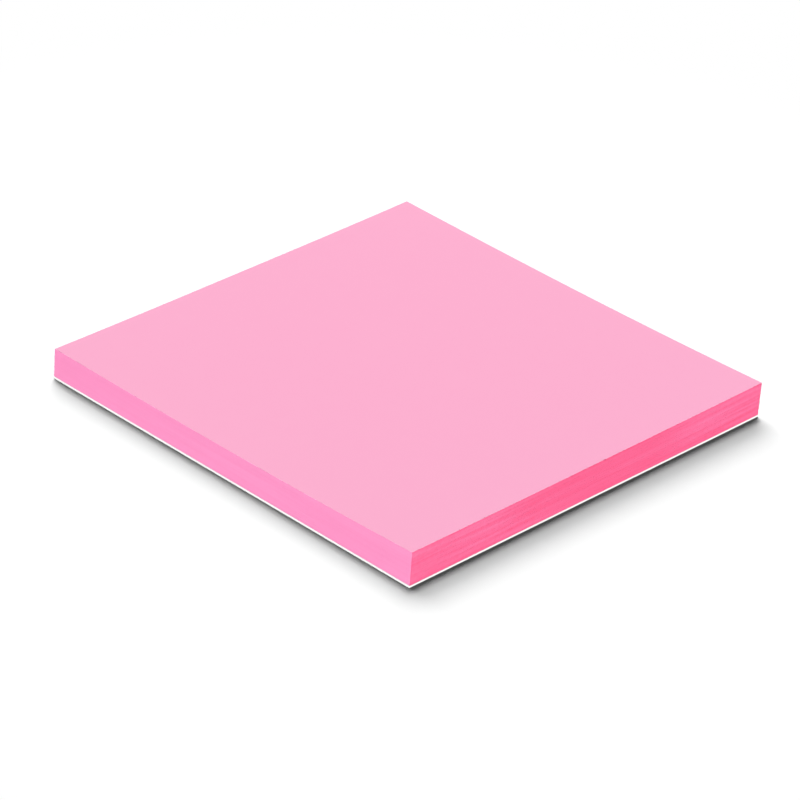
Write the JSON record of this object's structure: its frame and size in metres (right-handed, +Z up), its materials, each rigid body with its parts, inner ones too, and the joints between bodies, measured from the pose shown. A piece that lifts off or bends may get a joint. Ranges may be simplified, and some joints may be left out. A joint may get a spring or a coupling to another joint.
{
  "type": "sticky note pad",
  "caption": "Square pad of pink self-stick notes on a white backing sheet, glued along one edge and slightly thicker there, with gently curled corners.",
  "frame": {"origin": "centre of the backing sheet's underside, on the surface that the pad lies on", "axes": "+Z up through the notes, +X towards the glued edge, +Y along the glued edge"},
  "size_m": [0.076, 0.076, 0.006],
  "materials": {
    "note_paper": "matte uncoated paper, pale pink on its face and deeper pink on the cut edges",
    "tacky_adhesive": "thin translucent tacky coating",
    "backing_paper": "smooth matte white card"
  },
  "bodies": {
    "root": {"note_block": "note_paper", "adhesive_strip": "tacky_adhesive", "backing_sheet": "backing_paper"}
  },
  "joints": []
}
